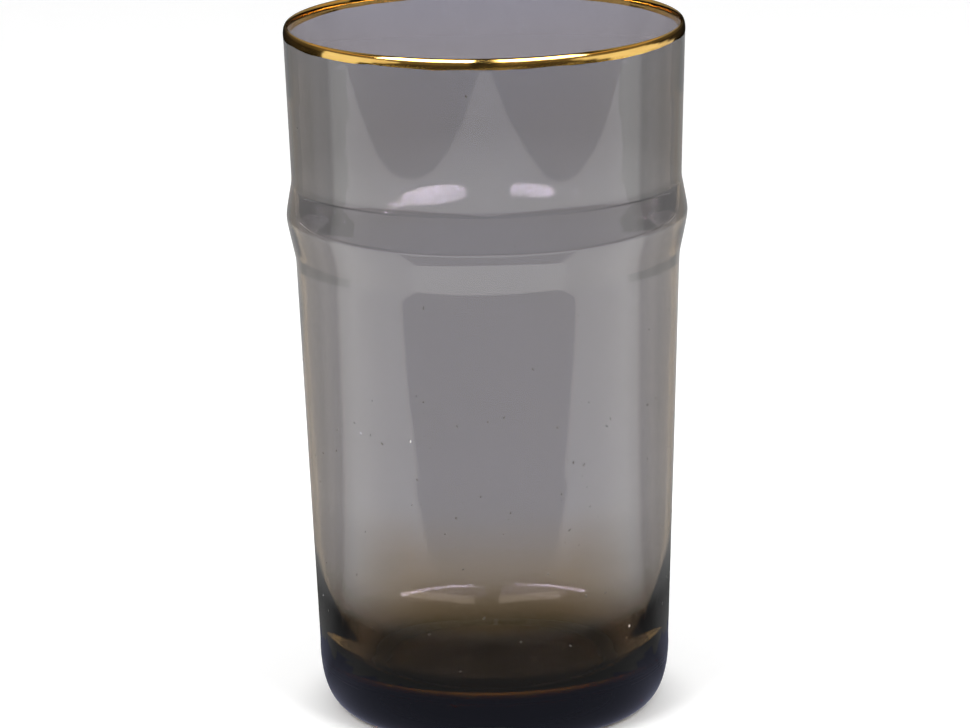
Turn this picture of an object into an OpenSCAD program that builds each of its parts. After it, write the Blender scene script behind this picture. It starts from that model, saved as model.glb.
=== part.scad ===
// Tall smoked drinking glass with a raised belt below the mouth, a heavy
// rounded base and a fired gold band over the lip.
// Millimetres, +Z up. The origin is the middle of the standing face, on the table.

/* [Body] */
// Height of the glass itself, from the table to the top of its bare lip
glass_h = 141; // [125:0.5:160]
// Outside diameter at the mouth, just under the lip
mouth_d = 80; // [74:0.5:86]
// Outside diameter at the top of the rounded heel
heel_d = 71.4; // [66:0.2:74]
// How far the lower wall bows out from a straight cone
wall_bow = 0.14; // [0:0.02:0.6]
// Thickness of the blown wall
wall_t = 1.5; // [1.2:0.1:2.4]
// Thickness of the fire-polished lip
lip_t = 1.1; // [0.8:0.1:1.2]
// Height over which the wall thins out to the lip
lip_taper_h = 12; // [6:1:20]

/* [Belt] */
// Height of the belt's crest below the bare lip
belt_drop = 38.6; // [32:0.2:50]
// How far the belt stands out from the wall
belt_out = 1.4; // [0.8:0.05:2.5]
// Length of the belt's slope above its crest
belt_rise = 7; // [5:0.2:10]
// Length of the belt's slope below its crest
belt_fall = 8.6; // [6:0.2:12]

/* [Foot] */
// Outside diameter of the flat standing ring
foot_d = 57; // [50:0.5:62]
// Width of the flat standing ring
foot_ring_w = 5; // [3:0.5:8]
// Height of the rounded heel
heel_h = 14; // [11:0.5:18]
// Depth of the shallow hollow under the base, at its middle
kick_h = 1.4; // [0.6:0.1:2.5]

/* [Inside] */
// Height of the inside floor above the table, at its middle
floor_z = 6.6; // [5:0.2:12]
// How much higher the floor is where its round corner starts
floor_dish = 0.6; // [0.2:0.1:1.5]
// Width of the round corner between the floor and the wall
corner_w = 9.2; // [5:0.2:12]
// Height of that corner
corner_h = 11; // [5:0.5:14]
// Extra wall thickness at the top of that corner
heavy_t = 1.4; // [0.6:0.1:3]
// Height above the table at which the wall starts to thicken
heavy_z = 36; // [28:1:50]

/* [Gold band] */
// Height of the gold on the outside, down from the bare lip
gold_out_h = 2.2; // [1.5:0.1:4]
// Height of the gold on the inside, down from the bare lip
gold_in_h = 1.8; // [1.2:0.1:3]
// Thickness of the gold film, drawn far thicker than the fired film is
film_t = 0.1; // [0.06:0.02:0.2]

/* [Hidden] */
$fn = 180;

smoke_colour = [0.44, 0.42, 0.43, 0.75];
gold_colour = [0.85, 0.66, 0.28];

// How square the heel is: 2 is a plain ellipse
heel_fullness = 2.5;
// How round the belt's crest is, against the length of its slopes
crest_round_share = 0.13;
// How round the feet of its slopes are, against the belt's height
foot_round_share = 0.1;
// A slope has died out at this many of its own lengths from the crest
belt_reach = 1.4;

// Points along each stretch of the outline
heel_steps = 14;
low_wall_steps = 14;
belt_steps = 14;
high_wall_steps = 8;
lip_steps = 10;
gold_steps = 2;
corner_steps = 10;
floor_steps = 6;

mouth_r = mouth_d / 2;
heel_r = heel_d / 2;
foot_r = foot_d / 2;
lip_r = lip_t / 2;
lip_z = glass_h - lip_r;
belt_z = glass_h - belt_drop;
belt_top_z = belt_z + belt_rise * belt_reach;
belt_bottom_z = belt_z - belt_fall * belt_reach;
corner_z = floor_z + floor_dish + corner_h;
gold_out_z = glass_h - gold_out_h;
gold_in_z = glass_h - gold_in_h;

function mix(a, b, s) = a + (b - a) * s;

// Where z lies between two heights, from 0 to 1
function part_way(z, z0, z1) = min(1, max(0, (z - z0) / (z1 - z0)));

// Evenly spaced heights from z0, up to but without z1
function heights(z0, z1, n) = [for (i = [0:n - 1]) mix(z0, z1, i / n)];

function reversed(list) = [for (i = [len(list) - 1:-1:0]) list[i]];

// The belt is a low tent, steeper above its crest than below, with its crest and feet rounded
function belt_run(z) = (z - belt_z) / (z > belt_z ? belt_rise : belt_fall);
function from_crest(run) = norm([run, crest_round_share]);
function tent(run) = (from_crest(1) - from_crest(run)) / (from_crest(1) - crest_round_share);
function round_foot(share) = (share + norm([share, foot_round_share])) / 2;
function belt_at(z) = belt_out * round_foot(tent(belt_run(z)));

// Outside radius of the wall: a cone with a slight bow, and the belt
function cone_at(s) = mix(heel_r, mouth_r, s) + wall_bow * 4 * s * (1 - s);
function outer_r(z) = cone_at((z - heel_h) / (lip_z - heel_h)) + belt_at(z);

// Wall thickness: heavy at the bottom, thin at the lip
function heavy_at(z) = heavy_t * pow(1 - part_way(z, corner_z, heavy_z), 2);
function thin_at(z) = (wall_t - lip_t) * part_way(z, lip_z - lip_taper_h, lip_z);
function inner_r(z) = outer_r(z) - wall_t - heavy_at(z) + thin_at(z);

// Round heel from the standing ring to the wall
function heel_points() = [for (i = [0:heel_steps - 1])
    let (a = 90 * i / heel_steps)
    [foot_r + (heel_r - foot_r) * pow(sin(a), 2 / heel_fullness),
     heel_h * (1 - pow(cos(a), 2 / heel_fullness))]];

// Heights at which the outside and the inside of the wall have points
function belt_heights() = concat(
    heights(belt_bottom_z, belt_z, belt_steps),
    heights(belt_z, belt_top_z, belt_steps));
function outer_heights() = concat(
    heights(heel_h, belt_bottom_z, low_wall_steps),
    belt_heights(),
    heights(belt_top_z, gold_out_z, high_wall_steps));
function inner_heights() = concat(
    heights(corner_z, belt_bottom_z, low_wall_steps),
    belt_heights(),
    heights(belt_top_z, gold_in_z, high_wall_steps));

// The band's own stretch of each side, up to the lip, moved out by a film
function gold_outside(film) = [for (z = heights(gold_out_z, lip_z, gold_steps))
    [outer_r(z) + film, z]];
function gold_inside(film) = [for (z = heights(gold_in_z, lip_z, gold_steps))
    [inner_r(z) - film, z]];
function lip_arc(film) = [for (i = [0:lip_steps])
    let (a = 180 * i / lip_steps)
    [mouth_r - lip_r + (lip_r + film) * cos(a), lip_z + (lip_r + film) * sin(a)]];

// Round corner inside, from the wall down to the floor
function corner_points() = [for (i = [1:corner_steps])
    let (a = 90 * i / corner_steps)
    [inner_r(corner_z) - corner_w * (1 - cos(a)), corner_z - corner_h * sin(a)]];

// Dished floor, from its edge to the middle
function floor_points() = [for (i = [1:floor_steps])
    let (s = 1 - i / floor_steps)
    [(inner_r(corner_z) - corner_w) * s, floor_z + floor_dish * s * s]];

// Shallow hollow under the base, from the middle to the standing ring
function kick_points() = [for (i = [0:floor_steps])
    let (s = i / floor_steps)
    [(foot_r - foot_ring_w) * s, kick_h * (1 - s * s)]];

// Blown glass in one piece: foot, base, wall, belt and lip
module glass_body() {
    color(smoke_colour)
    rotate_extrude()
    polygon(concat(
        kick_points(),
        heel_points(),
        [for (z = outer_heights()) [outer_r(z), z]],
        gold_outside(0),
        lip_arc(0),
        reversed(gold_inside(0)),
        reversed([for (z = inner_heights()) [inner_r(z), z]]),
        corner_points(),
        floor_points()));
}

// Gold fired over the lip: a thin skin outside, over the top and inside
module gold_rim() {
    color(gold_colour)
    rotate_extrude()
    polygon(concat(
        gold_outside(film_t),
        lip_arc(film_t),
        reversed(gold_inside(film_t)),
        gold_inside(0),
        reversed(lip_arc(0)),
        reversed(gold_outside(0))));
}

glass_body();
gold_rim();
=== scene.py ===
import math

import bmesh
import bpy
from mathutils import Matrix, Vector


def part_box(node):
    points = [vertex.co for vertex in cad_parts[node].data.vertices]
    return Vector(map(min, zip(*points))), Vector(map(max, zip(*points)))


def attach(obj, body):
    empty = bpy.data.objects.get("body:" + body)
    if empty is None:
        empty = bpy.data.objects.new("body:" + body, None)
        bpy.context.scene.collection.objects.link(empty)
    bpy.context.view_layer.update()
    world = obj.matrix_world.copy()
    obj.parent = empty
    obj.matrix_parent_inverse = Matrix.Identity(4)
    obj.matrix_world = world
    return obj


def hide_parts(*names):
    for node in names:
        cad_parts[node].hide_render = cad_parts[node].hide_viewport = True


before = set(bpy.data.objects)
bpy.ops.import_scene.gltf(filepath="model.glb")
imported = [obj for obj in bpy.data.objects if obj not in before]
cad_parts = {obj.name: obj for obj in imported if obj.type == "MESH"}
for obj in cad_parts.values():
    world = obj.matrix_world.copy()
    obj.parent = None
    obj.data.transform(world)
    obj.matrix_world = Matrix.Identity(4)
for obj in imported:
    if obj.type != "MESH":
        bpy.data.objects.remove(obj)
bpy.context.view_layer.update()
scene = bpy.context.scene

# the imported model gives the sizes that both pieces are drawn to, in metres
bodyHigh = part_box("glass_body")[1]
rimLow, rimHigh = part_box("gold_rim")
glassHeight = bodyHigh.z
filmRoom = rimHigh.z - bodyHigh.z  # how far the gold may stand proud of the glass
mouthRadius = rimHigh.x - filmRoom
goldOutZ = rimLow.z


# sRGB hex to the linear numbers that shaders take
def linearColour(hexText):
    values = [int(hexText[i:i + 2], 16) / 255 for i in (1, 3, 5)]
    return [v / 12.92 if v <= 0.04045 else ((v + 0.055) / 1.055) ** 2.4 for v in values] + [1.0]


# adds a node: props are its settings, inputs hold values or sockets to link, by name or number
def addNode(tree, kind, inputs=None, **props):
    node = tree.nodes.new(kind)
    for name, value in props.items():
        setattr(node, name, value)
    for key, value in (inputs or {}).items():
        if isinstance(value, bpy.types.NodeSocket):
            tree.links.new(value, node.inputs[key])
        else:
            node.inputs[key].default_value = value
    return node


def newMaterial(name):
    material = bpy.data.materials.new(name)
    material.use_nodes = True
    material.node_tree.nodes.clear()
    return material, material.node_tree


# camera, matched to the photo's outline of the glass and the ellipse of its lip
cameraSetup = {
    "distance": 1.0,
    "pitch": 14.575,  # degrees down
    "roll": -0.993,
    "aimX": -0.00096,
    "aimBelowLip": 0.07042,
    "focalPixels": 4946.0,
    "frameWidth": 970,
    "clipEnd": 50,
}


def makeCamera(setup):
    data = bpy.data.cameras.new("camera")
    data.lens = setup["focalPixels"] / setup["frameWidth"] * data.sensor_width
    data.clip_end = setup["clipEnd"]
    camera = bpy.data.objects.new("camera", data)
    scene.collection.objects.link(camera)
    turn = Matrix.Rotation(math.radians(90 - setup["pitch"]), 4, "X")
    turn = turn @ Matrix.Rotation(math.radians(setup["roll"]), 4, "Z")
    aim = Vector((setup["aimX"], 0, glassHeight - setup["aimBelowLip"]))
    back = turn.to_3x3() @ Vector((0, 0, setup["distance"]))
    camera.matrix_world = Matrix.Translation(aim + back) @ turn
    scene.camera = camera


makeCamera(cameraSetup)
print("camera set")

# outline of the glass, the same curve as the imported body
glass = {
    "heelRadius": 0.0357,
    "heelHeight": 0.014,
    "heelFullness": 2.5,
    "wallBow": 0.00014,
    "wall": 0.0015,
    "lip": 0.0011,
    "lipRound": 0.0017,  # the fire-polished lip is rounded over this height
    "lipTaper": 0.012,
    "beltDrop": 0.0386,
    "beltOut": 0.0014,
    "beltRise": 0.007,
    "beltFall": 0.0086,
    "grooveFall": 0.0074,  # inside, the belt's lower slope is a little steeper
    "crestRound": 0.13,
    "footRound": 0.1,
    "footRadius": 0.0285,
    "footRing": 0.005,
    "kickHeight": 0.0014,
    "floorHeight": 0.0066,
    "floorDish": 0.0006,
    "cornerWidth": 0.0092,
    "cornerHeight": 0.011,
    "heavyWall": 0.0014,
    "heavyHeight": 0.036,
    "wallPoints": 150,
    "bendPoints": 16,
    "kickPoints": 10,
    "floorPoints": 12,
    "segments": 224,
    "margin": 0.00004,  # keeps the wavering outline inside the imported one
    "outerWaver": 0.00003,  # the mould holds the outside
    "innerWaver": 0.00006,  # the breath leaves the inside free
    "waverSize": 0.024,
    "calmBelow": 0.004,  # the waver has died out this far below the gold
    "calmFade": 0.02,  # and dies out over this height
    "seed": 4,
}
lipZ = glassHeight - glass["lipRound"]
beltZ = glassHeight - glass["beltDrop"]
cornerZ = glass["floorHeight"] + glass["floorDish"] + glass["cornerHeight"]


def mixed(a, b, share):
    return a + (b - a) * share


def spread(start, end, count):
    return [mixed(start, end, i / count) for i in range(count + 1)]


def partWay(z, low, high):
    return min(1.0, max(0.0, (z - low) / (high - low)))


# the value at a place, straight between the stops of a list of places and values
def alongStops(stops, at):
    for (start, before), (end, after) in zip(stops, stops[1:]):
        if at <= end:
            return mixed(before, after, partWay(at, start, end))
    return stops[-1][1]


def coneRadius(z):
    share = (z - glass["heelHeight"]) / (lipZ - glass["heelHeight"])
    return mixed(glass["heelRadius"], mouthRadius, share) + glass["wallBow"] * 4 * share * (1 - share)


# the belt is a low tent with a round crest and round feet
def beltAt(z, fall):
    crest = glass["crestRound"]
    run = (z - beltZ) / (glass["beltRise"] if z > beltZ else fall)
    tent = (math.hypot(1, crest) - math.hypot(run, crest)) / (math.hypot(1, crest) - crest)
    return glass["beltOut"] * (tent + math.hypot(tent, glass["footRound"])) / 2


def outerRadius(z):
    return coneRadius(z) + beltAt(z, glass["beltFall"]) - glass["margin"]


def innerRadius(z):
    heavy = glass["heavyWall"] * (1 - partWay(z, cornerZ, glass["heavyHeight"])) ** 2
    thin = (glass["wall"] - glass["lip"]) * partWay(z, lipZ - glass["lipTaper"], lipZ)
    return coneRadius(z) + beltAt(z, glass["grooveFall"]) - glass["margin"] - glass["wall"] - heavy + thin


# a point of the lip's round, moved out by a film
def lipPoint(angle, film):
    middle = (outerRadius(lipZ) + innerRadius(lipZ)) / 2
    half = (outerRadius(lipZ) - innerRadius(lipZ)) / 2 + film
    return middle + half * math.cos(angle), lipZ + (glass["lipRound"] + film) * math.sin(angle)


# how far the wall wanders at a height: not at all near the lip, so that the gold and the glass keep together
def wanderAt(z, size):
    calmTop = goldOutZ - glass["calmBelow"]
    return size * (1 - partWay(z, calmTop - glass["calmFade"], calmTop))


# each outline point: radius, height, how far it wanders along radius and height, and 1 if it is inside
def glassOutline():
    points = []
    hollowRadius = glass["footRadius"] - glass["footRing"]
    for s in spread(0, 1, glass["kickPoints"]):
        points.append((hollowRadius * s, glass["kickHeight"] * (1 - s * s), 0, 0, 0))
    for a in spread(0, math.pi / 2, glass["bendPoints"])[:-1]:
        radius = mixed(glass["footRadius"], glass["heelRadius"], math.sin(a) ** (2 / glass["heelFullness"]))
        height = glass["heelHeight"] * (1 - math.cos(a) ** (2 / glass["heelFullness"]))
        points.append((radius, height, 0, 0, 0))
    for z in spread(glass["heelHeight"], lipZ, glass["wallPoints"])[:-1]:
        wander = wanderAt(z, glass["outerWaver"]) * partWay(z, glass["heelHeight"], 2 * glass["heelHeight"])
        points.append((outerRadius(z) - wander, z, wander, 0, 0))
    for a in spread(0, math.pi, glass["bendPoints"]):
        points.append((*lipPoint(a, 0), 0, 0, 0))
    for z in spread(lipZ, cornerZ, glass["wallPoints"])[1:]:
        points.append((innerRadius(z), z, wanderAt(z, glass["innerWaver"]), 0, 1))
    cornerStart = innerRadius(cornerZ)
    for a in spread(0, math.pi / 2, glass["bendPoints"])[1:]:
        radius = cornerStart - glass["cornerWidth"] * (1 - math.cos(a))
        height = cornerZ - glass["cornerHeight"] * math.sin(a)
        points.append((radius, height, glass["innerWaver"] * math.cos(a), 0, 1))
    edgeRadius = cornerStart - glass["cornerWidth"]
    for s in spread(1, 0, glass["floorPoints"])[1:]:
        points.append((edgeRadius * s, glass["floorHeight"] + glass["floorDish"] * s * s, 0, 0, 1))
    return points


revolve = {
    "mergeBelow": 1e-6,  # closes the seam and the poles
    "sideStep": 7.3,  # sets the inside's noise apart from the outside's
    "noiseDetail": 1.5,
    "noiseRange": (0.25, 0.75),  # what the noise mostly keeps to
}


# Geometry Nodes: turns an outline of points about Z, and lets its surface wander as a blown one does
def revolveTree(setup):
    tree = bpy.data.node_groups.new("revolveOutline", "GeometryNodeTree")
    face = tree.interface
    face.new_socket("Outline", in_out="INPUT", socket_type="NodeSocketGeometry")
    for name, kind in (
        ("Segments", "NodeSocketInt"),
        ("Wander Size", "NodeSocketFloat"),
        ("Seed", "NodeSocketInt"),
        ("Material", "NodeSocketMaterial"),
    ):
        face.new_socket(name, in_out="INPUT", socket_type=kind)
    face.new_socket("Mesh", in_out="OUTPUT", socket_type="NodeSocketGeometry")
    given = addNode(tree, "NodeGroupInput").outputs
    outline = given["Outline"]
    count = addNode(tree, "GeometryNodeAttributeDomainSize", {"Geometry": outline}).outputs["Point Count"]
    inputs = {0: given["Segments"], 1: 1}
    columns = addNode(tree, "FunctionNodeIntegerMath", inputs, operation="ADD").outputs[0]
    grid = addNode(tree, "GeometryNodeMeshGrid", {"Vertices X": columns, "Vertices Y": count}).outputs["Mesh"]
    inputs = {0: addNode(tree, "GeometryNodeInputIndex").outputs[0], 1: count}
    column = addNode(tree, "FunctionNodeIntegerMath", inputs, operation="DIVIDE_FLOOR").outputs[0]
    row = addNode(tree, "FunctionNodeIntegerMath", inputs, operation="MODULO").outputs[0]
    share = addNode(tree, "ShaderNodeMath", {0: column, 1: given["Segments"]}, operation="DIVIDE").outputs[0]
    angle = addNode(tree, "ShaderNodeMath", {0: share, 1: 2 * math.pi}, operation="MULTIPLY").outputs[0]

    def sampled(kind, field):
        node = addNode(tree, "GeometryNodeSampleIndex", {"Geometry": outline, "Index": row}, data_type=kind)
        tree.links.new(field, node.inputs["Value"])
        return node.outputs["Value"]

    def turned(vector):
        inputs = {"Vector": vector, "Angle": angle}
        return addNode(tree, "ShaderNodeVectorRotate", inputs, rotation_type="Z_AXIS").outputs[0]

    def named(kind, name):
        return addNode(tree, "GeometryNodeInputNamedAttribute", {"Name": name}, data_type=kind).outputs[0]

    place = turned(sampled("FLOAT_VECTOR", addNode(tree, "GeometryNodeInputPosition").outputs[0]))
    wander = turned(sampled("FLOAT_VECTOR", named("FLOAT_VECTOR", "wander")))
    side = sampled("FLOAT", named("FLOAT", "side"))
    inputs = {0: side, 1: setup["sideStep"], 2: given["Seed"]}
    apart = addNode(tree, "ShaderNodeMath", inputs, operation="MULTIPLY_ADD").outputs[0]
    scale = addNode(tree, "ShaderNodeMath", {0: 1.0, 1: given["Wander Size"]}, operation="DIVIDE").outputs[0]
    inputs = {"Vector": place, "W": apart, "Scale": scale, "Detail": setup["noiseDetail"]}
    noise = addNode(tree, "ShaderNodeTexNoise", inputs, noise_dimensions="4D").outputs["Fac"]
    least, most = setup["noiseRange"]
    swing = addNode(tree, "ShaderNodeMapRange", {0: noise, 1: least, 2: most, 3: -1.0, 4: 1.0}).outputs[0]
    offset = addNode(tree, "ShaderNodeVectorMath", {0: wander, "Scale": swing}, operation="SCALE").outputs[0]
    inputs = {"Geometry": grid, "Position": place, "Offset": offset}
    shaped = addNode(tree, "GeometryNodeSetPosition", inputs).outputs[0]
    inputs = {"Geometry": shaped, "Distance": setup["mergeBelow"]}
    closed = addNode(tree, "GeometryNodeMergeByDistance", inputs).outputs[0]
    smooth = addNode(tree, "GeometryNodeSetShadeSmooth", {"Geometry": closed}).outputs[0]
    real = addNode(tree, "GeometryNodeRealizeInstances", {"Geometry": smooth}).outputs[0]
    inputs = {"Geometry": real, "Material": given["Material"]}
    finished = addNode(tree, "GeometryNodeSetMaterial", inputs).outputs[0]
    addNode(tree, "NodeGroupOutput", {"Mesh": finished})
    return tree


# an object that holds only an outline, ready for a tree to work on
def outlineObject(name, points):
    mesh = bpy.data.meshes.new(name)
    mesh.from_pydata([(p[0], 0, p[1]) for p in points], [(i, i + 1) for i in range(len(points) - 1)], [])
    mesh.attributes.new("wander", "FLOAT_VECTOR", "POINT")
    mesh.attributes.new("side", "FLOAT", "POINT")
    for i, point in enumerate(points):
        mesh.attributes["wander"].data[i].vector = (point[2], 0, point[3])
        mesh.attributes["side"].data[i].value = point[4]
    holder = bpy.data.objects.new(name, mesh)
    scene.collection.objects.link(holder)
    return holder


# runs a tree on an object and keeps the result as a plain mesh under a new name
def bakeTree(holder, tree, values, name):
    modifier = holder.modifiers.new("tree", "NODES")
    modifier.node_group = tree
    for item in tree.interface.items_tree:
        if item.in_out == "INPUT" and item.name in values:
            modifier[item.identifier] = values[item.name]
    graph = bpy.context.evaluated_depsgraph_get()
    mesh = bpy.data.meshes.new_from_object(holder.evaluated_get(graph), depsgraph=graph)
    mesh.name = name
    bpy.data.objects.remove(holder)
    piece = bpy.data.objects.new(name, mesh)
    scene.collection.objects.link(piece)
    return piece


# turns a closed mesh's faces outwards
def faceOut(piece):
    shell = bmesh.new()
    shell.from_mesh(piece.data)
    if shell.calc_volume(signed=True) < 0:
        bmesh.ops.reverse_faces(shell, faces=shell.faces)
    shell.to_mesh(piece.data)
    shell.free()


outlineTurner = revolveTree(revolve)

# smoke glass, blown and fire-polished: clear with a grey lustre that each wall darkens once,
# and an amber brown in the mass that shows only where the glass is thick
smokeFinish = {
    "tint": "#9699B4",
    "thick": "#E0C344",
    "density": 350.0,
    "ior": 1.52,
    "shine": 0.8,
    "roughness": 0.0,
}


def smokeGlass(finish):
    material, tree = newMaterial("smokeGlass")
    surface = addNode(tree, "ShaderNodeBsdfPrincipled", {
        "Base Color": linearColour(finish["tint"]),
        "Transmission Weight": 1.0,
        "IOR": finish["ior"],
        "Roughness": finish["roughness"],
        "Specular IOR Level": finish["shine"],
    })
    mass = addNode(tree, "ShaderNodeVolumeAbsorption", {
        "Color": linearColour(finish["thick"]),
        "Density": finish["density"],
    })
    addNode(tree, "ShaderNodeOutputMaterial", {"Surface": surface.outputs[0], "Volume": mass.outputs[0]})
    return material


holder = outlineObject("glassOutline", glassOutline())
glassBody = bakeTree(holder, outlineTurner, {
    "Segments": glass["segments"],
    "Wander Size": glass["waverSize"],
    "Seed": glass["seed"],
    "Material": smokeGlass(smokeFinish),
}, "smoke_glass")
faceOut(glassBody)
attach(glassBody, "root")
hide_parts("glass_body")
print("glass body made")

# the gold band: a painted film over the lip with a hand-drawn, wandering edge
gold = {
    "film": 0.00004,  # how far it stands proud
    "bite": 0.00002,  # how far it sinks into the glass, so that it bonds with no gap
    "raised": 0.0001,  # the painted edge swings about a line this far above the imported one
    "inside": 0.0021,
    "outerWander": 0.00026,
    "innerWander": 0.0002,
    "edgePoints": 4,
    "sharp": 50,  # degrees, so that only the film's own edges are sharp
    "lipPoints": 36,
    "segments": 360,
    "wanderSize": 0.009,
    "seed": 2,
}


def goldOutline():
    top = lipZ
    outLow = goldOutZ + gold["raised"]
    inLow = glassHeight - gold["inside"]
    outHeights = spread(outLow, top, gold["edgePoints"])[:-1]
    inHeights = spread(inLow, top, gold["edgePoints"])[:-1]

    # the painted edges wander, and the lip's round stays as it is
    def outside(z, film):
        return outerRadius(z) + film, z, 0, gold["outerWander"] * (1 - partWay(z, outLow, top)), 0

    def inside(z, film):
        return innerRadius(z) - film, z, 0, gold["innerWander"] * (1 - partWay(z, inLow, top)), 1

    def skin(film):
        lip = [(*lipPoint(a, film), 0, 0, 0) for a in spread(0, math.pi, gold["lipPoints"])]
        return [outside(z, film) for z in outHeights] + lip + [inside(z, film) for z in reversed(inHeights)]

    points = skin(gold["film"]) + skin(-gold["bite"])[::-1]
    return points + points[:1]


# fired bright gold: a thin precious film, mirror bright with faint brush strokes round the lip
goldFinish = {
    "colour": "#F6D27E",
    "worn": "#D9A650",
    "roughness": (0.054, 0.162),  # in the smoothest and the roughest strokes
    "strokesPerMm": (0.12, 0.12, 0.9),  # a stroke is about 8 mm long and 1 mm high
    "strokeDetail": 3.0,
    "strokeRange": (0.3, 0.7),  # what the noise mostly keeps to
    "bump": 0.08,
    "bumpHeight": 0.00005,
}


def firedGold(finish):
    material, tree = newMaterial("firedGold")
    where = addNode(tree, "ShaderNodeTexCoord").outputs["Object"]
    scale = [number * 1000 for number in finish["strokesPerMm"]]
    stretch = addNode(tree, "ShaderNodeMapping", {"Vector": where, "Scale": scale}).outputs[0]
    inputs = {"Vector": stretch, "Scale": 1.0, "Detail": finish["strokeDetail"]}
    strokes = addNode(tree, "ShaderNodeTexNoise", inputs).outputs["Fac"]
    tone = addNode(tree, "ShaderNodeMix", {
        "Factor": strokes,
        6: linearColour(finish["colour"]),
        7: linearColour(finish["worn"]),
    }, data_type="RGBA").outputs[2]
    least, most = finish["strokeRange"]
    smooth, rough = finish["roughness"]
    inputs = {0: strokes, 1: least, 2: most, 3: smooth, 4: rough}
    brushed = addNode(tree, "ShaderNodeMapRange", inputs).outputs[0]
    inputs = {"Strength": finish["bump"], "Distance": finish["bumpHeight"], "Height": strokes}
    bump = addNode(tree, "ShaderNodeBump", inputs).outputs[0]
    surface = addNode(tree, "ShaderNodeBsdfPrincipled", {
        "Base Color": tone, "Metallic": 1.0, "Roughness": brushed, "Normal": bump,
    })
    addNode(tree, "ShaderNodeOutputMaterial", {"Surface": surface.outputs[0]})
    return material


holder = outlineObject("goldOutline", goldOutline())
goldRim = bakeTree(holder, outlineTurner, {
    "Segments": gold["segments"],
    "Wander Size": gold["wanderSize"],
    "Seed": gold["seed"],
    "Material": firedGold(goldFinish),
}, "gold_band")
faceOut(goldRim)
goldRim.data.set_sharp_from_angle(angle=math.radians(gold["sharp"]))
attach(goldRim, "root")
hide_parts("gold_rim")
print("gold band made")

# air seeds: tiny bubbles that have opened in the skin of the blown wall, drawn long by the turning;
# their thickness, width and length are half sizes
seeds = {
    "density": 11000.0,  # to the square metre of wall, at full share
    "low": [(0.016, 0.5), (0.03, 1.0), (0.06, 1.0), (0.085, 0.4), (0.092, 0.1)],  # heights and shares
    "high": [(0.114, 0.08), (0.136, 0.05)],  # the same above the belt, which has none
    "depth": 0.00001,
    "thickness": 0.00004,  # so that they lie flat in the skin
    "width": (0.00013, 0.00023),
    "length": (0.0002, 0.0005),
    "tilt": 1.3,  # radians to either side of upright
    "rows": 40,
    "segments": 72,
    "seed": 5,
}


# the wall's outer skin in two bare sleeves, below and above the belt, with the share at each point
def seedSurface(setup):
    width = setup["segments"]
    points = []
    faces = []
    shares = []
    turns = spread(0, 2 * math.pi, width)[:width]
    for stops in (setup["low"], setup["high"]):
        for r, z in enumerate(spread(stops[0][0], stops[-1][0], setup["rows"])):
            radius = outerRadius(z) - setup["depth"]
            low = len(points)
            points += [(radius * math.sin(a), -radius * math.cos(a), z) for a in turns]
            shares += [alongStops(stops, z)] * width
            if r > 0:
                under = low - width
                following = [(c + 1) % width for c in range(width)]
                faces += [(under + c, under + n, low + n, low + c) for c, n in enumerate(following)]
    mesh = bpy.data.meshes.new("seedSurface")
    mesh.from_pydata(points, [], faces)
    mesh.attributes.new("share", "FLOAT", "POINT").data.foreach_set("value", shares)
    holder = bpy.data.objects.new("seedSurface", mesh)
    scene.collection.objects.link(holder)
    return holder


# Geometry Nodes: strews small long grains flat over a surface, as thick as its share attribute says
def seedTree():
    tree = bpy.data.node_groups.new("strewSeeds", "GeometryNodeTree")
    face = tree.interface
    face.new_socket("Surface", in_out="INPUT", socket_type="NodeSocketGeometry")
    for name, kind in (
        ("Density", "NodeSocketFloat"),
        ("Smallest", "NodeSocketVector"),
        ("Largest", "NodeSocketVector"),
        ("Tilt", "NodeSocketFloat"),
        ("Seed", "NodeSocketInt"),
        ("Material", "NodeSocketMaterial"),
    ):
        face.new_socket(name, in_out="INPUT", socket_type=kind)
    face.new_socket("Mesh", in_out="OUTPUT", socket_type="NodeSocketGeometry")
    given = addNode(tree, "NodeGroupInput").outputs
    share = addNode(tree, "GeometryNodeInputNamedAttribute", {"Name": "share"}, data_type="FLOAT").outputs[0]
    dense = addNode(tree, "ShaderNodeMath", {0: share, 1: given["Density"]}, operation="MULTIPLY").outputs[0]
    scatter = addNode(tree, "GeometryNodeDistributePointsOnFaces", {
        "Mesh": given["Surface"], "Density": dense, "Seed": given["Seed"],
    }).outputs
    grain = addNode(tree, "GeometryNodeMeshIcoSphere", {"Radius": 1.0, "Subdivisions": 1}).outputs["Mesh"]
    size = addNode(tree, "FunctionNodeRandomValue", {
        0: given["Smallest"], 1: given["Largest"], "Seed": given["Seed"],
    }, data_type="FLOAT_VECTOR").outputs[0]
    lean = addNode(tree, "ShaderNodeCombineXYZ", {2: given["Tilt"]}).outputs[0]
    back = addNode(tree, "ShaderNodeVectorMath", {0: lean, "Scale": -1.0}, operation="SCALE").outputs[0]
    turn = addNode(tree, "FunctionNodeRandomValue", {
        0: back, 1: lean, "Seed": given["Seed"],
    }, data_type="FLOAT_VECTOR").outputs[0]
    laid = addNode(tree, "FunctionNodeRotateRotation", {
        "Rotation": scatter["Rotation"], "Rotate By": turn,
    }, rotation_space="LOCAL").outputs[0]
    grains = addNode(tree, "GeometryNodeInstanceOnPoints", {
        "Points": scatter["Points"], "Instance": grain, "Rotation": laid, "Scale": size,
    }).outputs[0]
    real = addNode(tree, "GeometryNodeRealizeInstances", {"Geometry": grains}).outputs[0]
    inputs = {"Geometry": real, "Material": given["Material"]}
    done = addNode(tree, "GeometryNodeSetMaterial", inputs).outputs[0]
    addNode(tree, "NodeGroupOutput", {"Mesh": done})
    return tree


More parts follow.
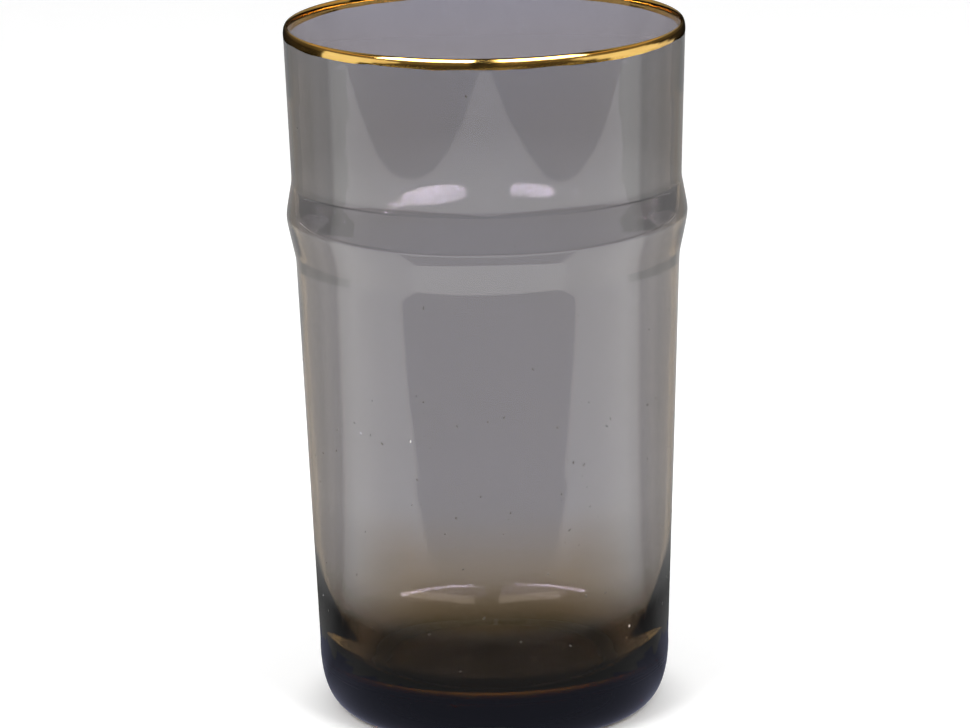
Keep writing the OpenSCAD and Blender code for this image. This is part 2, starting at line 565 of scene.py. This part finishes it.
# air seeds in the glass: gas caught when it was gathered, whose tiny open pits throw the light aside;
# the dark colour below is painted shade, so each one reads as a dark speck, and the pale one is a painted
# glint, so now and then one flashes pale
seedFinish = {
    # painted shade: the dark that the pits show, given as their own colour
    "dark": "#3A3632",
    # painted glint: a pale flash, given as their own colour
    "pale": "#DAD8DE",
    "roughness": 0.3,
    "patchesPerMm": 0.9,  # a patch is a little longer than a seed, so that most are of one tone
    "paleAbove": (0.64, 0.66),  # of the noise, which seldom gets there
}


def airSeeds(finish):
    material, tree = newMaterial("airSeeds")
    where = addNode(tree, "ShaderNodeTexCoord").outputs["Object"]
    inputs = {"Vector": where, "Scale": finish["patchesPerMm"] * 1000}
    chance = addNode(tree, "ShaderNodeTexNoise", inputs).outputs["Fac"]
    least, most = finish["paleAbove"]
    lit = addNode(tree, "ShaderNodeMapRange", {0: chance, 1: least, 2: most}).outputs[0]
    # the seeds' painted shade, with a painted glint where the noise is high
    tone = addNode(tree, "ShaderNodeMix", {
        "Factor": lit,
        6: linearColour(finish["dark"]),
        7: linearColour(finish["pale"]),
    }, data_type="RGBA").outputs[2]
    inputs = {"Base Color": tone, "Roughness": finish["roughness"]}
    surface = addNode(tree, "ShaderNodeBsdfPrincipled", inputs)
    addNode(tree, "ShaderNodeOutputMaterial", {"Surface": surface.outputs[0]})
    return material


airSeedPiece = bakeTree(seedSurface(seeds), seedTree(), {
    "Density": seeds["density"],
    "Smallest": (seeds["width"][0], seeds["length"][0], seeds["thickness"]),
    "Largest": (seeds["width"][1], seeds["length"][1], seeds["thickness"]),
    "Tilt": seeds["tilt"],
    "Seed": seeds["seed"],
    "Material": airSeeds(seedFinish),
}, "air_seeds")
airSeedPiece.data.materials.pop(index=0)  # the empty slot that the grain brings along
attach(airSeedPiece, "root")
print("air seeds made:", len(airSeedPiece.data.polygons) // 20)  # a grain has 20 faces

# the surround: white for what is seen straight, in metal and through glass, and a plain fill for the rest
surround = {
    "colour": "#FFFFFF",
    "seen": 1.0,
    "fill": 0.5,
}


def seenShare(tree):
    path = addNode(tree, "ShaderNodeLightPath").outputs
    inputs = {0: path["Is Camera Ray"], 1: path["Is Glossy Ray"]}
    both = addNode(tree, "ShaderNodeMath", inputs, operation="MAXIMUM").outputs[0]
    inputs = {0: both, 1: path["Is Transmission Ray"]}
    return addNode(tree, "ShaderNodeMath", inputs, operation="MAXIMUM").outputs[0]


def makeSurround(setup):
    world = bpy.data.worlds.new("surround")
    world.use_nodes = True
    tree = world.node_tree
    tree.nodes.clear()
    strength = addNode(tree, "ShaderNodeMapRange", {
        0: seenShare(tree), 1: 0.0, 2: 1.0, 3: setup["fill"], 4: setup["seen"],
    }).outputs[0]
    inputs = {"Color": linearColour(setup["colour"]), "Strength": strength}
    light = addNode(tree, "ShaderNodeBackground", inputs)
    addNode(tree, "ShaderNodeOutputWorld", {"Surface": light.outputs[0]})
    scene.world = world


def stagePlane(name, points, faces, material):
    mesh = bpy.data.meshes.new(name)
    mesh.from_pydata(points, [], faces)
    thing = bpy.data.objects.new(name, mesh)
    scene.collection.objects.link(thing)
    thing.data.materials.append(material)
    return thing


# the pale floor: matt, so that it takes the glass's shadow, with a little light of its own
floor = {
    "size": 12.0,
    "colour": "#EDEDED",
    "lift": 0.4,
    "shadowReach": 0.044,  # the lift fades out under the glass, inside this radius
    "shadowCore": 0.6,  # and is gone inside this share of it
}


def makeFloor(setup):
    material, tree = newMaterial("paleFloor")
    matt = addNode(tree, "ShaderNodeBsdfDiffuse", {"Color": linearColour(setup["colour"])}).outputs[0]
    where = addNode(tree, "ShaderNodeTexCoord").outputs["Object"]
    reach = addNode(tree, "ShaderNodeVectorMath", {0: where}, operation="LENGTH").outputs["Value"]
    clear = addNode(tree, "ShaderNodeMapRange", {
        0: reach,
        1: setup["shadowReach"] * setup["shadowCore"],
        2: setup["shadowReach"],
        3: 0.0,
        4: setup["lift"],
    }, interpolation_type="SMOOTHSTEP").outputs[0]
    strength = addNode(tree, "ShaderNodeMath", {0: seenShare(tree), 1: clear}, operation="MULTIPLY")
    lift = addNode(tree, "ShaderNodeEmission", {"Strength": strength.outputs[0]}).outputs[0]
    both = addNode(tree, "ShaderNodeAddShader", {0: matt, 1: lift}).outputs[0]
    addNode(tree, "ShaderNodeOutputMaterial", {"Surface": both})
    half = setup["size"] / 2
    corners = [(-half, -half, 0), (half, -half, 0), (half, half, 0), (-half, half, 0)]
    stagePlane("floor", corners, [(0, 1, 2, 3)], material)


amberLight = "#F6D7A0"  # light that has come through the amber foot, and the shades round the gold


# a card that only reflections and refractions show, with its own light at each point. It lights:
# "outer": what the outer faces reflect; "through": what leaves the glass; "all": both;
# "gold": what the gold's brushed face reflects; "glass": what smooth glass reflects or lets through
def card(name, points, faces, lights, colour="#FFFFFF", sees="outer", warm=None, fades=None):
    material, tree = newMaterial(name)
    glow = addNode(tree, "ShaderNodeAttribute", attribute_name="glow").outputs["Color"]
    path = addNode(tree, "ShaderNodeLightPath").outputs
    strength = 1.0
    if fades:
        start, end, rest = fades
        strength = addNode(tree, "ShaderNodeMapRange", {
            0: path["Ray Length"], 1: start, 2: end, 3: 1.0, 4: rest,
        }).outputs[0]
    light = addNode(tree, "ShaderNodeEmission", {"Color": glow, "Strength": strength}).outputs[0]
    if sees != "all":
        passed = path["Is Singular Ray" if sees in ("gold", "glass") else "Is Transmission Ray"]
        clear = addNode(tree, "ShaderNodeBsdfTransparent").outputs[0]
        pair = (clear, light) if sees in ("through", "glass") else (light, clear)
        light = addNode(tree, "ShaderNodeMixShader", {0: passed, 1: pair[0], 2: pair[1]}).outputs[0]
    addNode(tree, "ShaderNodeOutputMaterial", {"Surface": light})
    thing = stagePlane(name, points, faces, material)
    plain = linearColour(colour)
    amber = linearColour(amberLight)
    colours = []
    for i, strength in enumerate(lights):
        share = warm[i] if warm else 0
        colours += [strength * mixed(plain[k], amber[k], share) for k in range(3)] + [1.0]
    thing.data.attributes.new("glow", "FLOAT_COLOR", "POINT").data.foreach_set("color", colours)
    thing.visible_camera = False
    thing.visible_diffuse = False
    thing.visible_shadow = False
    return thing


# a point at an azimuth from the camera's side, degrees, and a distance and height
def around(azimuth, distance, height):
    a = math.radians(azimuth)
    return (distance * math.sin(a), -distance * math.cos(a), height)


# a grid of points, row after row, and its faces
def gridOf(rows):
    width = len(rows[0])
    points = [point for row in rows for point in row]
    starts = [r * width + c for r in range(len(rows) - 1) for c in range(width - 1)]
    return points, [(k, k + 1, k + 1 + width, k + width) for k in starts]


# a flat round or part-round card between the rings of some radii
def ringGrid(azimuths, steps, radii, height):
    turns = spread(azimuths[0], azimuths[1], steps)
    return gridOf([[around(a, r, height) for a in turns] for r in radii])


# a curved standing card between two azimuths and the rings of some heights
def wallGrid(azimuths, steps, distance, heights):
    turns = spread(azimuths[0], azimuths[1], steps)
    return gridOf([[around(a, distance, z) for a in turns] for z in heights])


# the height at which something is seen, at an elevation from the belt
def heightAt(elevation, distance):
    return beltZ + distance * math.tan(math.radians(elevation))


# the table as the outer faces mirror it: bright at the sides, plain in a wedge in front,
# dim near the foot and behind
table = {
    "light": 4.5,
    "plainLight": 3.25,
    "aroundShares": [(85, 1.0), (96, 0.78), (100, 0.5), (111, 0.42), (120, 0.28), (130, 0.21), (145, 0.12),
                     (180, 0.1)],  # of the light, by azimuth
    "closeShares": [(0.12, 0.68), (0.165, 1.0)],  # of the light that is left near the glass, by reach
    "besideShare": 0.7,  # and beside it
    "besideTurn": (76, 104),  # which sets in between these azimuths
    "besideReach": (0.13, 0.36),  # and has gone again between these reaches
    "farShares": [(0.43, 1.0), (0.5, 0.76)],  # and far away, where the wall above the belt looks
    "wedgeStart": 0.075,
    "wedgeSlope": 0.52,
    "wedgeEnd": 0.335,  # the plain wedge ends in an arc here
    "farStart": 0.598,  # the plain far part
    "farSlope": 0.8875,
    "edgeBlur": 0.004,
    "footShares": [(0.06, 0.1), (0.09, 0.03)],  # of the light that is left round the foot, by reach
    "behindShare": 0.33,  # and behind it
    "behindTurn": (95, 125),
    "clearStart": 0.09,  # the dark round the foot clears from here
    "clearEnds": [(20, 0.135), (60, 0.118)],  # out to here, by azimuth
    "warmShares": [(0.09, 0), (0.1, 1), (0.17, 0)],  # of amber light on the table in front, by reach
    "warmFront": 0.09,  # full at this far in front
    "half": (0.7, 0.9),  # the card's half width and depth
    "steps": (280, 360),
    "height": 0.0005,  # the round card lies lower and the strip higher
    "hole": 0.031,  # left open for the foot of the glass
    "ring": 0.09,  # a finer round card reaches out to here
    "ringColour": "#D9DDFF",
    "ringSteps": (180, 12),
    "stripNear": 0.13,  # a bright strip in front, for the belt's lower slope
    "stripFar": 0.185,
    "stripLight": 5.0,
    "stripTurn": 44,
    "stripSteps": 88,
    "ledgeSlope": 0.364,  # of the wall's sight lines
    "ledgeSpare": 1.1,
    "ledgeSteps": 8,
}


# how far a point of the table lies inside the plain wedge in front of the glass, which ends in an arc,
# or in the plain far part, which the wall above the belt looks at
def plainDepth(x, y, setup):
    wedge = -setup["wedgeStart"] - setup["wedgeSlope"] * abs(x) - y
    far = setup["farSlope"] * abs(x) - setup["farStart"] - y
    return max(min(wedge, setup["wedgeEnd"] - math.hypot(x, y)), far)


# how much of the light has come through the amber foot
def warmAt(x, y, setup):
    return alongStops(setup["warmShares"], math.hypot(x, y)) * partWay(-y, 0, setup["warmFront"])


def tableLightAt(x, y, setup):
    reach = math.hypot(x, y)
    azimuth = math.degrees(math.atan2(abs(x), -y))
    beside = mixed(1, setup["besideShare"], partWay(azimuth, *setup["besideTurn"]))
    beside = mixed(beside, 1, partWay(reach, *setup["besideReach"]))
    side = setup["light"] * alongStops(setup["aroundShares"], azimuth)
    side *= alongStops(setup["closeShares"], reach) * beside
    blur = setup["edgeBlur"]
    light = mixed(side, setup["plainLight"], partWay(plainDepth(x, y, setup), -blur, blur))
    light *= alongStops(setup["farShares"], reach)
    behind = partWay(azimuth, *setup["behindTurn"])
    foot = mixed(alongStops(setup["footShares"], reach), setup["behindShare"], behind)
    clearEnd = alongStops(setup["clearEnds"], azimuth)
    return light * mixed(foot, 1, partWay(reach, setup["clearStart"], clearEnd))


def makeTable(setup):
    halfX, halfY = setup["half"]
    stepsX, stepsY = setup["steps"]
    flat = setup["height"]
    points, faces = gridOf([[(x, y, flat) for x in spread(-halfX, halfX, stepsX)]
                            for y in spread(-halfY, halfY, stepsY)])
    hole, ring = setup["hole"], setup["ring"]
    faces = [face for face in faces if min(math.hypot(*points[k][:2]) for k in face) > (hole + ring) / 2]
    warm = [warmAt(x, y, setup) for x, y, z in points]
    card("tableCard", points, faces, [tableLightAt(x, y, setup) for x, y, z in points], warm=warm)
    turnSteps, reachSteps = setup["ringSteps"]
    points, faces = ringGrid((-180, 180), turnSteps, spread(hole, ring, reachSteps), flat / 2)
    card("ringCard", points, faces, [tableLightAt(x, y, setup) for x, y, z in points], setup["ringColour"])
    # the strip lies on the table; a low ledge in the table's own light hides it from the wall
    near, far = setup["stripNear"], setup["stripFar"]
    azimuths = (-setup["stripTurn"], setup["stripTurn"])
    points, faces = ringGrid(azimuths, setup["stripSteps"], (near, far), 2 * flat)
    lights = [max(tableLightAt(x, y, setup), setup["stripLight"]) for x, y, z in points]
    card("tableStrip", points, faces, lights)
    heights = spread(0, (far - near) * setup["ledgeSlope"] * setup["ledgeSpare"], setup["ledgeSteps"])
    points, faces = wallGrid(azimuths, setup["stripSteps"], near, heights)
    beyond = [1 + z / setup["ledgeSlope"] / near for x, y, z in points]
    seen = [(x * share, y * share) for (x, y, z), share in zip(points, beyond)]
    warm = [warmAt(x, y, setup) for x, y in seen]
    card("tableLedge", points, faces, [tableLightAt(x, y, setup) for x, y in seen], warm=warm)


# a small ring round the lip, for the gold: brown shades, with a bright patch at each side
rimRing = {
    "radius": 0.1,
    "steps": 360,
    "rows": [(0.118, 0.02), (0.1232, 0.02), (0.1236, 0.035), (0.13, 0.05), (0.137, 0.05), (0.14, 0.06),
             (0.1415, 0.12), (0.145, 0.16), (0.149, 0.18), (0.153, 0.2), (0.162, 0.2)],  # height, light
    "fades": (0.08, 0.09, 0.06),  # for the inside of the rim, which is further away
    "gap": 6.0,  # the ring is dark this many degrees each side of the middle
    "gapLight": 0.02,
    "aroundShares": [(85, 1), (95, 0.5)],  # of the light, by azimuth
    "warm": 0.6,
    "patchLight": 1.05,
    "patchStart": 37.7,  # degrees
    "patchLow": [(37.7, 0.143), (62, 0.1236), (68, 0.1216)],  # its lower edge, by azimuth
    "patchHighLeft": [(37.7, 0.144), (50, 0.152), (83, 0.152), (88, 0.122)],  # and its upper edges
    "patchHighRight": [(37.7, 0.144), (50, 0.147), (83, 0.147), (118, 0.122)],
}


def makeRimRing(setup):
    heights = [z for z, light in setup["rows"]]
    points, faces = wallGrid((-180, 180), setup["steps"], setup["radius"], heights)
    lights, warm = [], []
    for z, light in setup["rows"]:
        for azimuth in spread(-180, 180, setup["steps"]):
            turn = abs(azimuth)
            low = alongStops(setup["patchLow"], turn)
            high = alongStops(setup["patchHighLeft" if azimuth < 0 else "patchHighRight"], turn)
            lit = turn > setup["patchStart"] and low <= z <= high
            shade = light * alongStops(setup["aroundShares"], turn)
            if turn <= setup["gap"]:
                shade = setup["gapLight"]
            lights.append(setup["patchLight"] if lit else shade)
            warm.append(0 if lit else setup["warm"])
    card("rimRing", points, faces, lights, sees="gold", warm=warm, fades=setup["fades"])


# soft boxes and flags stand round the glass: azimuths in degrees, distances and heights in metres
studio = {
    "boxDistance": 0.9,
    "boxSteps": 12,
    "boxLeft": (-16.5, -76),
    "boxRight": (14.5, 78),
    "boxLow": (14.2, 10.6),  # elevation of the lower edge, degrees, at its inner and outer ends
    "boxHigh": (20, 20),
    "boxLight": 100.0,
    "tallLeft": (-6.5, -64),
    "tallRight": (8, 60),
    "tallHigh": (50, 50),
    "tallLight": 12.0,
    "lineLeft": (-67, -130),
    "lineRight": (60, 130),
    "lineElevations": (22, 32),
    "lineLight": 0.6,
    "lineColour": "#FFD9A8",
    "roomTurn": (100, 260),
    "roomHeights": (0, 1.5),
    "roomDistance": 0.95,
    "roomLight": 0.1,
    "edgeFlagTurn": (135, 171),
    "edgeFlagHeights": (0.028, 0.066),
    "edgeFlagDistance": 0.3,
    "edgeFlagLight": 0.45,
    "glintLeft": (-11, -52),
    "glintRight": (2, 37),
    "glintSteps": 20,
    "glintReach": (0.0865, 0.096),
    "glintHeight": 0.002,
    "glintLight": 9.0,
    "wallDistance": 1.0,
    "wallElevation": 11.5,  # the lit part of the wall ends at this elevation, degrees
    "wallHeight": 1.6,
    "wallLight": 3.0,
    "frontLight": 0.02,
    "backLight": 0.3,
    "ceilingHalf": 1.1,
    "ceilingLight": 0.02,
}


# a standing card with a grid point about every 10 degrees
def standingCard(name, azimuths, heights, distance, light, colour="#FFFFFF", sees="outer", shares=None):
    steps = max(1, round(abs(azimuths[1] - azimuths[0]) / 10))
    points, faces = wallGrid(azimuths, steps, distance, heights)
    turns = spread(azimuths[0], azimuths[1], steps)
    lights = [light * (alongStops(shares, abs(a)) if shares else 1) for z in heights for a in turns]
    card(name, points, faces, lights, colour, sees)


# a soft box: a standing card whose lower and upper edges may slant
def softBox(name, azimuths, lowEdge, highEdge, light, sees, setup):
    distance, steps = setup["boxDistance"], setup["boxSteps"]
    turns = spread(azimuths[0], azimuths[1], steps)
    points, faces = gridOf([[around(a, distance, heightAt(edge, distance))
                             for a, edge in zip(turns, spread(ends[0], ends[1], steps))]
                            for ends in (lowEdge, highEdge)])
    card(name, points, faces, [light] * len(points), sees=sees)


# two tall soft boxes, cut off below and far brighter in their lower part, and two dim lines for the belt
def makeBoxes(setup):
    for part, lowEdge, highEdge, sees in (
        ("box", setup["boxLow"], setup["boxHigh"], "glass"),
        ("tall", setup["boxHigh"], setup["tallHigh"], "all"),
    ):
        for side in ("Left", "Right"):
            softBox(part + side, setup[part + side], lowEdge, highEdge, setup[part + "Light"], sees, setup)
    distance = setup["boxDistance"]
    heights = [heightAt(elevation, distance) for elevation in setup["lineElevations"]]
    for side in ("Left", "Right"):
        azimuths = setup["line" + side]
        standingCard("line" + side, azimuths, heights, distance, setup["lineLight"], setup["lineColour"])


def makeFlags(setup):
    # what leaves the glass backwards sees a dark room above the table, and flags that darken its edges
    standingCard("darkRoom", setup["roomTurn"], setup["roomHeights"], setup["roomDistance"],
                 setup["roomLight"], sees="through")
    for name, sign in (("edgeFlagLeft", -1), ("edgeFlagRight", 1)):
        azimuths = [sign * azimuth for azimuth in setup["edgeFlagTurn"]]
        standingCard(name, azimuths, setup["edgeFlagHeights"], setup["edgeFlagDistance"],
                     setup["edgeFlagLight"], sees="through")
    # and what the back of the base throws forwards and down sees two bright bands
    for side in ("Left", "Right"):
        reaches, height = setup["glintReach"], setup["glintHeight"]
        points, faces = ringGrid(setup["glint" + side], setup["glintSteps"], reaches, height)
        card("glint" + side, points, faces, [setup["glintLight"]] * len(points), sees="through")
    # a wall all round, lit low down and dark above, and a dark ceiling
    distance, top = setup["wallDistance"], setup["wallHeight"]
    lit = heightAt(setup["wallElevation"], distance)
    shares = table["aroundShares"]
    standingCard("lowFront", (-180, 180), (0, lit), distance, setup["wallLight"], shares=shares)
    standingCard("darkFront", (-90, 90), (lit, top), distance, setup["frontLight"])
    standingCard("darkBack", (90, 270), (lit, top), distance, setup["backLight"])
    half = setup["ceilingHalf"]
    points, faces = gridOf([[(x, y, top) for x in (-half, half)] for y in (-half, half)])
    card("darkCeiling", points, faces, [setup["ceilingLight"]] * len(points))


# soft square lamps aimed at the middle of the glass; cards stand for them in reflections
lamps = {
    "azimuths": {"lampLeft": -40, "lampRight": 40},
    "elevation": 40,
    "distance": 1.2,
    "size": 0.5,
    "light": 7.5,  # watts
}


def makeLamps(setup):
    up = math.radians(setup["elevation"])
    aim = Vector((0, 0, glassHeight / 2))
    for name, azimuth in setup["azimuths"].items():
        data = bpy.data.lights.new(name, "AREA")
        data.shape = "SQUARE"
        data.size = setup["size"]
        data.energy = setup["light"]
        thing = bpy.data.objects.new(name, data)
        scene.collection.objects.link(thing)
        away = Vector(around(azimuth, math.cos(up), math.sin(up)))
        turn = away.to_track_quat("Z", "Y").to_matrix().to_4x4()
        thing.matrix_world = Matrix.Translation(aim + away * setup["distance"]) @ turn
        thing.visible_glossy = False
        thing.visible_transmission = False


makeSurround(surround)
makeFloor(floor)
makeTable(table)
makeBoxes(studio)
makeRimRing(rimRing)
makeFlags(studio)
makeLamps(lamps)
print("studio set")

scene.view_settings.view_transform = "Standard"
scene.cycles.sample_clamp_indirect = 0  # keeps small bright reflections at full light
scene.cycles.max_bounces = 24
scene.cycles.transmission_bounces = 24
scene.cycles.glossy_bounces = 12
scene.cycles.caustics_reflective = False
